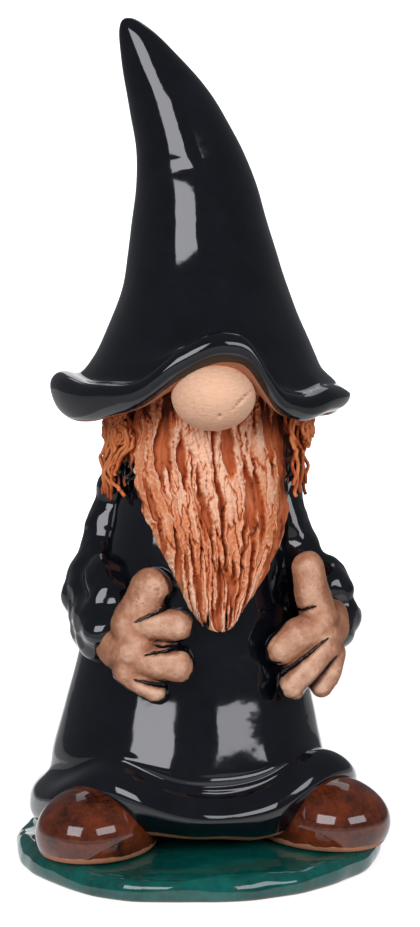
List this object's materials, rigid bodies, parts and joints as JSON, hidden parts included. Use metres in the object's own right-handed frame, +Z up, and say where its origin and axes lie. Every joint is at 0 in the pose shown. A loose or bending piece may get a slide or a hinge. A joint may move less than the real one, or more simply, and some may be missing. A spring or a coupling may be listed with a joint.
{
  "type": "garden gnome",
  "caption": "Hand-built glazed pottery garden gnome with a leaning pointed hat, combed clay beard, flared robe, bare clay hands and rounded shoes, standing loose on an oval glazed plate.",
  "frame": {"origin": "middle of the plate's flat underside, at the bottom centre of the whole part's box", "axes": "+Z up, the gnome faces -Y, and its own left hand is on +X"},
  "size_m": [0.1486, 0.1446, 0.3339],
  "materials": {
    "black_glaze": "deep black gloss glaze",
    "green_glaze": "dark green gloss glaze",
    "brown_glaze": "mottled reddish brown gloss glaze",
    "pale_clay": "bare fired clay, matt, with fine grog",
    "orange_clay": "bare fired clay with an orange oxide wash"
  },
  "bodies": {
    "plate": {"base_plate": "green_glaze"},
    "figure": {"robe": "black_glaze", "head": "pale_clay", "hat": "black_glaze", "nose": "pale_clay", "beard": "orange_clay", "hair_right": "orange_clay", "hair_left": "orange_clay", "sleeve_right": "black_glaze", "sleeve_left": "black_glaze", "hand_right": "pale_clay", "hand_left": "pale_clay", "shoe_right": "brown_glaze", "shoe_left": "brown_glaze"}
  },
  "joints": [
    {"name": "figure_lift", "type": "slide", "parent": "plate", "child": "figure", "axis": [0, 0, 1], "range_m": [0, 0.06]}
  ]
}
